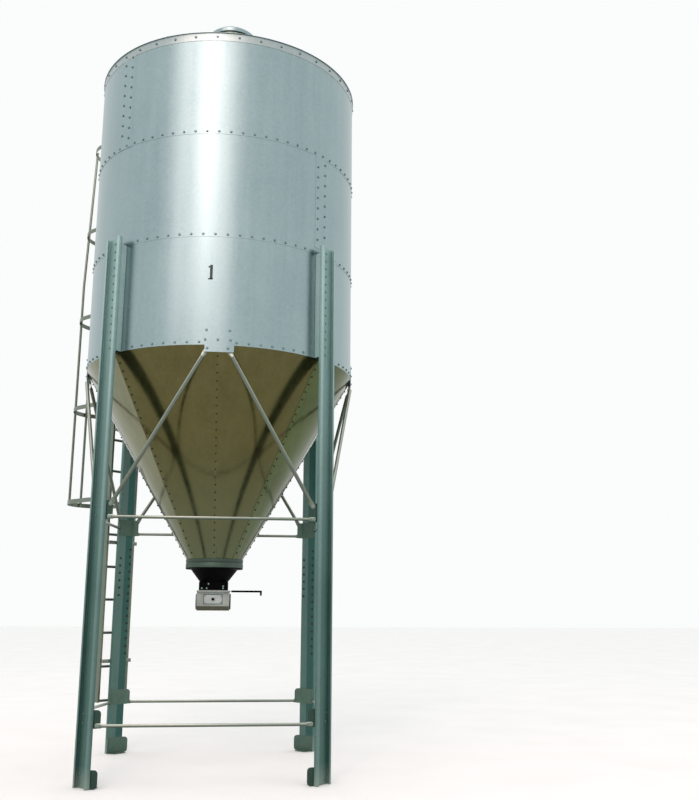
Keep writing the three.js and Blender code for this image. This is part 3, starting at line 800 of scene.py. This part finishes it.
bracing = {"wingFace": 1.009, "tab": 0.005, "gussetHalf": 5.625, "gussetZ": (3.542, 3.748), "plate": 0.005,
           "gussetBolts": [(3.735, (-0.1, 0.1)), (3.65, (-0.108, 0, 0.108)), (3.575, (-0.088, 0.088))]}
brace = {"reach": 0.8584, "footZ": 2.255, "topX": 0.094, "topIn": 0.0106, "topUp": 0.022, "radius": 0.017,
         "tabLength": 0.072, "tabWidth": 0.042, "boltIn": 0.008, "boltZ": 2.268}
tie = {"reach": 0.8714, "radius": 0.0135, "tabLength": 0.056, "tabWidth": 0.038, "boltIn": 0.02}
sides = {"Front": 0, "Right": 90, "Back": 180, "Left": -90}
# heights of the left and right end of each side's upper and lower tie
levelTies = ((2.155, 2.155), (0.48, 0.48))
tieHeights = {"Front": levelTies, "Back": levelTies,
              "Right": ((2.155, 2.205), (0.58, 0.48)), "Left": ((2.205, 2.155), (0.48, 0.58))}


def makeBar(name, start, end, sizes):
    # a tube with both ends pressed flat, from one tab to the other
    start, end = Vector(start), Vector(end)
    radius, tab = sizes["radius"], sizes["tabLength"]
    slope = atan2(end.z - start.z, end.x - start.x)
    length = hypot(end.x - start.x, end.z - start.z)
    thin = bracing["tab"] / 2 / radius
    wide = sizes["tabWidth"] / 2 / radius
    # from each end: how far along in tab lengths, and how thin and wide the tube is there
    ends = [(-0.1, thin, 0.5 * wide), (-0.02, thin, 0.8 * wide), (0.08, thin, wide), (0.7, thin, wide),
            (1, 1, 1)]
    stations = [(share * tab, 0, *flat) for share, *flat in ends]
    stations += [(length - share * tab, end.y - start.y, *flat) for share, *flat in ends[::-1]]
    bpy.ops.mesh.primitive_circle_add(vertices=20, radius=radius, fill_type="NGON",
                                      rotation=(0, pi / 2, 0), location=(-0.1 * tab, 0, 0))
    bar = newPiece(name)
    pick(bar, "VERT", lambda point: True)
    bpy.ops.transform.resize(value=(1, thin, 0.5 * wide), center_override=(0, 0, 0))
    for (x0, y0, thin0, wide0), (x1, y1, thin1, wide1) in zip(stations, stations[1:]):
        extrudeBy((x1 - x0, y1 - y0, 0))
        bpy.ops.transform.resize(value=(1, thin1 / thin0, wide1 / wide0), center_override=(x1, y1, 0))
    faceOutward()
    bar.data.transform(Matrix.Translation(start) @ Matrix.Rotation(-slope, 4, "Y"))
    return bar


def makeGusset(name, angle):
    low, high = bracing["gussetZ"]
    half = bracing["gussetHalf"]
    radius = wall["radius"] + gap
    plate = makeBand(name, radius, radius, low, high)
    pick(plate, "FACE", lambda centre, normal: abs(past(angleOf(centre), angle)) > half)
    deletePicked("FACE")
    pick(plate, "VERT", lambda point: abs(past(angleOf(point), angle)) > half - 0.1 and point.z < low + 0.01)
    bpy.ops.mesh.bevel(offset=0.012, segments=2, affect="VERTICES")
    toObject()
    thicken(plate, bracing["plate"], 1)
    return plate


gussetFace = wall["radius"] + gap + bracing["plate"]
tabY = -(bracing["wingFace"] + gap + bracing["tab"] / 2)
boltY = tabY - bracing["tab"] / 2
topY, topZ = brace["topIn"] - wall["radius"], bracing["gussetZ"][0] + brace["topUp"]
bars = {"Right": ((brace["topX"], topY, topZ), (brace["reach"], tabY, brace["footZ"])),
        "Left": ((-brace["reach"], tabY, brace["footZ"]), (-brace["topX"], topY, topZ))}
braceBolts = []
for side, angle in sides.items():
    turn = turned(angle)
    low = side.lower()
    finishPiece(makeGusset(f"gusset{side}", angle), wallZinc, [f"gusset_{low}"])
    for z, row in bracing["gussetBolts"]:
        for across in row:
            spot = angle + degrees(across / gussetFace)
            braceBolts.append((at(spot, gussetFace, z), outward(spot)))
    for hand, (start, end) in bars.items():
        bar = makeBar(f"brace{side}{hand}", start, end, brace)
        finishPiece(bar, tubeZinc, [f"brace_{low}_{hand.lower()}"], move=turn)
    spots = []
    for level, (leftZ, rightZ) in zip(("Upper", "Lower"), tieHeights[side]):
        bar = makeBar(f"tie{level}{side}", (-tie["reach"], tabY, leftZ), (tie["reach"], tabY, rightZ), tie)
        finishPiece(bar, tubeZinc, [f"tie_{level.lower()}_{low}"], move=turn)
        spots += [(tie["boltIn"] - tie["reach"], leftZ), (tie["reach"] - tie["boltIn"], rightZ)]
    spots += [(x * (brace["reach"] - brace["boltIn"]), brace["boltZ"]) for x in (-1, 1)]
    for x, z in spots:
        braceBolts.append((turn @ Vector((x, boltY, z)), outward(angle)))
placeBolts("bracingBolts", braceBolts)
print("bracing made")


# Ladder and cage, drawn in a frame whose Y runs outward through the back left leg

ladder = {"angle": -135, "plane": 1.45, "stileX": 0.165, "stile": (0.025, 0.06), "rungRadius": 0.014,
          "low": 0.48, "top": 6.66, "knee": 4.95, "lean": 0.06, "firstRung": 0.016, "pitch": 0.33,
          "stay": 0.005, "stayHalf": 0.018, "legStays": (0.88, 2.06, 3.24, 4.42), "wallStays": (5.44, 6.4)}
cage = {"half": 0.3, "sideY": 0.425, "bendY": 0.13, "band": 0.045, "sheet": 0.005, "low": 2.5, "pitch": 1.012,
        "hoops": 5, "tube": 0.0135}
climb = turned(ladder["angle"] + 180)
stileEnds = [(side * ladder["stileX"], ladder["plane"]) for side in (-1, 1)]


def leanAt(z):
    return max(0, z - ladder["knee"]) * ladder["lean"]


def bendIn(piece, top):
    # a cut at the knee, then all that is above it ends nearer to the wall
    cutPiece(piece, (0, 0, ladder["knee"]), (0, 0, 1))
    pick(piece, "VERT", lambda point: point.z > ladder["knee"] + 0.001)
    bpy.ops.transform.translate(value=(0, -leanAt(top), 0))
    toObject()


ladderParts = []
halfX, halfY = ladder["stile"][0] / 2, ladder["stile"][1] / 2
for x, y in stileEnds:
    low, high = (x - halfX, y - halfY, ladder["low"]), (x + halfX, y + halfY, ladder["top"])
    stile = makeBox("stile", low, high, 0.003, 3)
    bendIn(stile, ladder["top"])
    ladderParts.append(stile)
z = ladder["low"] + ladder["firstRung"]
while z < ladder["top"]:
    ends = [(x, y - leanAt(z), z) for x, y in stileEnds]
    ladderParts.append(makeRod("rung", *ends, ladder["rungRadius"], 18))
    z += ladder["pitch"]
finishPiece(joinPieces("ladderFrame", ladderParts), tubeZinc, ["ladder"], move=climb)

lipFace = leg["web"] + leg["depth"] + gap
wallFace = wall["radius"] + 2 * step + gap
stays = [(z, lipFace) for z in ladder["legStays"]] + [(z, wallFace) for z in ladder["wallStays"]]
for number, (z, seat) in enumerate(stays):
    low, high = z - ladder["stayHalf"], z + ladder["stayHalf"]
    reach = ladder["stileX"] + 0.01
    parts = [makeBox("stayPlate", (-reach, seat, low), (reach, seat + ladder["stay"], high), 0.0012)]
    for x, y in stileEnds:
        armEnd = y - halfY - gap - leanAt(high)
        parts.append(makeBox("stayArm", (x - 0.004, seat, low), (x + 0.004, armEnd, high), 0.0012))
    stay = joinPieces(f"ladderStay{number + 1}", parts)
    finishPiece(stay, tubeZinc, [f"ladder_stay_{number + 1}"], move=climb)


def makeHoop():
    # half a circle, straight sides and ends bent in to the stiles, extruded to a flat band
    middle = ladder["plane"] + cage["sideY"]
    outer = cage["half"] + cage["sheet"]
    stileFace = ladder["stileX"] + halfX + gap
    bpy.ops.mesh.primitive_circle_add(
        vertices=72, radius=outer, fill_type="NOTHING", location=(0, middle, -cage["band"] / 2))
    hoop = newPiece("hoopPattern")
    pick(hoop, "VERT", lambda point: point.y < middle - 0.002)
    deletePicked("VERT")
    for side in (-1, 1):
        pick(hoop, "VERT", lambda point: point.x * side > outer - 0.0005 and point.y < middle + 0.002)
        extrudeBy((0, cage["bendY"] - cage["sideY"], 0))
        extrudeBy((-side * (outer - stileFace), -cage["bendY"], 0))
        toObject()
    pick(hoop, "VERT", lambda point: abs(point.y - ladder["plane"] - cage["bendY"]) < 0.001)
    bpy.ops.mesh.bevel(offset=0.03, segments=4, affect="VERTICES")
    toObject()
    pick(hoop, "EDGE", lambda middle, along: True)
    extrudeBy((0, 0, cage["band"]))
    faceOutward()
    # the sheet lies inside the drawn face
    thicken(hoop, cage["sheet"], -1)
    return hoop


hoopPattern = makeHoop()
hoopHeights = [cage["low"] + k * cage["pitch"] for k in range(cage["hoops"])]
cageParts = [copyPiece(hoopPattern, Matrix.Translation((0, -leanAt(z), z))) for z in hoopHeights]
dropPiece(hoopPattern)
reach = cage["half"] + cage["sheet"] / 2 - cage["tube"]
low, top = hoopHeights[0] - cage["band"] / 2, hoopHeights[-1] + cage["band"] / 2
for angle in (45, 90, 135):
    turn = radians(angle)
    x, y = reach * cos(turn), ladder["plane"] + cage["sideY"] + reach * sin(turn)
    tube = makeRod("cageTube", (x, y, low), (x, y, top), cage["tube"], 20, 0.002)
    bendIn(tube, top)
    cageParts.append(tube)
finishPiece(joinPieces("safetyCage", cageParts), tubeZinc, ["ladder_cage"], move=climb)
print("ladder made,", len(ladderParts) - len(stileEnds), "rungs")


# Outlet: collar, boot, slide gate and discharge box, measured from the tank's axis

outlet = {"gateZ": 1.56, "gateThick": 0.004, "clear": 0.005, "boxHalf": 0.15, "boxDepth": 0.13,
          "collar": 0.082, "boxLow": 1.383, "chamfer": 0.04, "railY": 0.1425, "railHalf": 0.0075,
          "capRadius": 0.072, "capUp": 0.082, "blockHalf": 0.133, "blockTop": 1.645}
collarLow = hopper["outletZ"] - gap - outlet["collar"]
bootTop = collarLow - gap
gateZ = outlet["gateZ"]
slotLow = gateZ - outlet["gateThick"] / 2 - outlet["clear"]
slotHigh = gateZ + outlet["gateThick"] / 2 + outlet["clear"]


def fromAxis(x, y, z):
    return axis + Vector((x, y, z))


# a rolled ring with a groove round its middle; heights are measured from its lower edge
collarRings = [
    (0.255, 0), (0.266, 0), (0.268, 0.002), (0.268, 0.039), (0.266, 0.042), (0.263, 0.043), (0.263, 0.049),
    (0.266, 0.05), (0.268, 0.053), (0.268, 0.076), (0.262, 0.082), (0.258, 0.082), (0.258, 0.006),
    (0.255, 0.006)]
collar = turnProfile("outletCollar", [(r, collarLow + z) for r, z in collarRings], 128)
finishPiece(collar, collarZinc, ["outlet_collar"])

bootCone = turnProfile("bootCone", [
    (0.119, slotHigh), (0.13, slotHigh), (0.131, 1.64), (0.134, 1.65), (0.217, bootTop - 0.014),
    (0.266, bootTop - 0.01), (0.266, bootTop), (0.21, bootTop), (0.21, bootTop - 0.012), (0.128, 1.65),
    (0.119, 1.635)])
half = outlet["blockHalf"]
bootBlock = makeBox("bootBlock", fromAxis(-half, -half, slotHigh), fromAxis(half, half, outlet["blockTop"]),
                    0.004)
finishPiece(joinPieces("outletBoot", [bootCone, bootBlock]), blackPaint, ["outlet_boot"])
bootBolts = [(fromAxis(x, direction * half, z), Vector((0, direction, 0)))
             for x, z in ((-0.105, 1.585), (-0.06, 1.585), (0.09, 1.585), (0.09, 1.605), (-0.045, 1.625))
             for direction in (-1, 1)]
placeBolts("bootBolts", bootBolts, scale=0.8)

# the box has its lower long edges cut off at 45 degrees and is then rounded all over
half, depth, boxLow = outlet["boxHalf"], outlet["boxDepth"], outlet["boxLow"]
housing = makeBox("boxHousing", fromAxis(-half, -depth, boxLow), fromAxis(half, depth, slotLow))
pick(housing, "EDGE", lambda middle, along: middle.z < boxLow + 0.001 and abs(along.x) > 0.1)
bpy.ops.mesh.bevel(offset=outlet["chamfer"], segments=1)
toObject()
useModifier(housing, "BEVEL", width=0.005, segments=3, limit_method="ANGLE")
housingParts = [housing]
capParts = []
capZ = boxLow + outlet["capUp"]
railTop = slotHigh - gap
for side in (-1, 1):
    ends = [fromAxis(side * (half + out), 0, capZ) for out in (-0.001, 0.012)]
    capParts.append(makeRod("endCap", *ends, outlet["capRadius"], 64, 0.004))
    y = side * outlet["railY"]
    housingParts.append(makeBox("rail", fromAxis(-half, y - outlet["railHalf"], slotLow - 0.001),
                                fromAxis(half, y + outlet["railHalf"], railTop), 0.001))
railFace = outlet["railY"] + outlet["railHalf"]
housingParts += [
    makeBox("rim", fromAxis(-half, -railFace, slotLow - 0.004), fromAxis(half, railFace, slotLow), 0.001),
    makeBox("stop", fromAxis(-half, -railFace, slotLow - 0.001), fromAxis(0.01 - half, railFace, railTop),
            0.001)]
finishPiece(joinPieces("dischargeBox", housingParts), greyPaint, ["discharge_box"])
finishPiece(joinPieces("boxCaps", capParts), castMetal)

cover = {"half": 0.081, "low": 1.447, "high": 1.525, "thick": 0.003, "seal": 0.0015, "sealRim": 0.007,
         "boltIn": 0.008, "knobRadius": 0.013, "knobY": (0.0035, 0.02)}
half, low, high, rim = cover["half"], cover["low"], cover["high"], cover["sealRim"]
back = -outlet["boxDepth"] - gap
sealY = back - cover["seal"]
coverY = sealY - cover["thick"]
seal = makeBox("plateSeal", fromAxis(-half - rim, sealY, low - rim), fromAxis(half + rim, back, high + rim),
               0.0005)
finishPiece(seal, washerRubber)
plate = makeBox("inspectionPlate", fromAxis(-half, coverY, low), fromAxis(half, sealY, high), 0.001)
finishPiece(plate, platePaint, ["inspection_plate"])
knobEnds = [fromAxis(0, back - y, (low + high) / 2) for y in cover["knobY"]]
knob = makeRod("plateKnob", *knobEnds, cover["knobRadius"], 32, 0.004)
finishPiece(knob, blackPaint)
inset = cover["boltIn"]
boxBolts = [(fromAxis(x, coverY, z), Vector((0, -1, 0)))
            for x in (inset - half, half - inset) for z in (low + inset, high - inset)]
placeBolts("boxBolts", boxBolts, scale=0.5)

half = outlet["gateThick"] / 2
rod, rodEnd, hookX = 0.009, 0.452, 0.443
gateParts = [
    makeBox("plate", fromAxis(-0.134, -0.129, gateZ - half), fromAxis(0.14, 0.129, gateZ + half), 0.0008),
    makeBox("tongue", fromAxis(0.139, -0.03, gateZ - half), fromAxis(0.172, 0.03, gateZ + half), 0.0008),
    makeRod("pull", fromAxis(0.166, 0, gateZ), fromAxis(rodEnd, 0, gateZ), rod, 20, 0.002),
    makeRod("hook", fromAxis(hookX, 0, gateZ + 0.007), fromAxis(hookX, 0, gateZ - 0.038), rod, 20, 0.002)]
finishPiece(joinPieces("slideGate", gateParts), blackPaint, ["slide_gate"], body="gate")
print("outlet made")


# The numeral on the lowest ring: a stem, a foot and a flag

numeral = {"x": -0.077, "z": (4.192, 4.325), "stem": 0.024, "foot": 0.052, "bar": 0.011,
           "flag": (0.024, 0.012), "thick": 0.0006}
low, high = numeral["z"]
face = sqrt((wall["radius"] + 0.0002) ** 2 - numeral["x"] ** 2)
stem, foot = numeral["stem"] / 2, numeral["foot"] / 2
flagLow, flagHigh = (high - down for down in numeral["flag"])
strokes = [(-stem, stem, low, high), (-foot, foot, low, low + numeral["bar"]),
           (-foot, 0.001 - stem, flagLow, flagHigh)]
wallNumeral = joinPieces("wallNumeral", [
    makeBox("stroke", fromAxis(numeral["x"] + left, -face - numeral["thick"], bottom),
            fromAxis(numeral["x"] + right, 0.001 - face, top)) for left, right, bottom, top in strokes])
finishPiece(wallNumeral, numeralPaint)
dropPiece(boltPattern)
print("numeral made")


# The scene: a pale floor, soft light and the camera

floor = {"size": 120, "drop": 0.001, "noise": 900}
bpy.ops.mesh.primitive_plane_add(size=floor["size"], location=(0, 0, -floor["drop"]))
ground = newPiece("studioFloor")
floorMaterial, tree, shader, place = newMaterial("paleFloor", 0.0, 0.9)
noise = addNode(tree, "TexNoise", {"Vector": place, "Scale": perMetre(floor["noise"]), "Detail": 4.0})
tone = addNode(tree, "ValToRGB", {"Fac": noise.outputs["Fac"]}, [(0.3, "#f6f6f4"), (0.7, "#fbfbfa")])
setInputs(tree, shader, {"Base Color": tone})
ground.data.materials.append(floorMaterial)

world = bpy.data.worlds.new("studio")
bpy.context.scene.world = world
world.use_nodes = True
sky = world.node_tree.nodes["Background"]
setInputs(world.node_tree, sky, {"Color": hexColor("#fbfcfc"), "Strength": 1.0})

lights = {
    "frontStrip": {"place": (-3.2, -12.8, 14.6), "size": (1.8, 10.0), "power": 290},
    "frontSoft": {"place": (-2.6, -13.2, 13.0), "size": (9.0, 12.0), "power": 620},
    "keyPanel": {"place": (-7.5, -10.1, 13.0), "size": (2.5, 12.0), "power": 190}}
aim = fromAxis(0, 0, 3.8)
for name, light in lights.items():
    bpy.ops.object.light_add(type="AREA", location=light["place"])
    lamp = bpy.context.object
    lamp.name = name
    lamp.data.shape = "RECTANGLE"
    lamp.data.size, lamp.data.size_y = light["size"]
    lamp.data.energy = light["power"]
    lamp.data.color = (1.0, 0.76, 0.72)
    lamp.rotation_euler = (aim - lamp.location).to_track_quat("-Z", "Y").to_euler()

camera = {"distance": 9.1485, "azimuth": 1.7031, "eye": 1.4221, "yaw": 7.9665, "pitch": 12.3499,
          "roll": 0.279, "focal": 945.28, "imageHeight": 800}
bpy.ops.object.camera_add(location=at(camera["azimuth"], camera["distance"], camera["eye"]))
lens = bpy.context.object
lens.name = "photoCamera"
azimuth, yaw, pitch, roll = (radians(camera[key]) for key in ("azimuth", "yaw", "pitch", "roll"))
level = Matrix.Rotation(azimuth - yaw, 3, "Z") @ Matrix.Rotation(pi / 2 + pitch, 3, "X")
lens.rotation_euler = (level @ Matrix.Rotation(roll, 3, "Z")).to_euler()
lens.data.sensor_width = 36
lens.data.lens = camera["focal"] / camera["imageHeight"] * lens.data.sensor_width
lens.data.clip_end = 300
bpy.context.scene.camera = lens
bpy.context.scene.view_settings.view_transform = "Standard"
print("stage set")
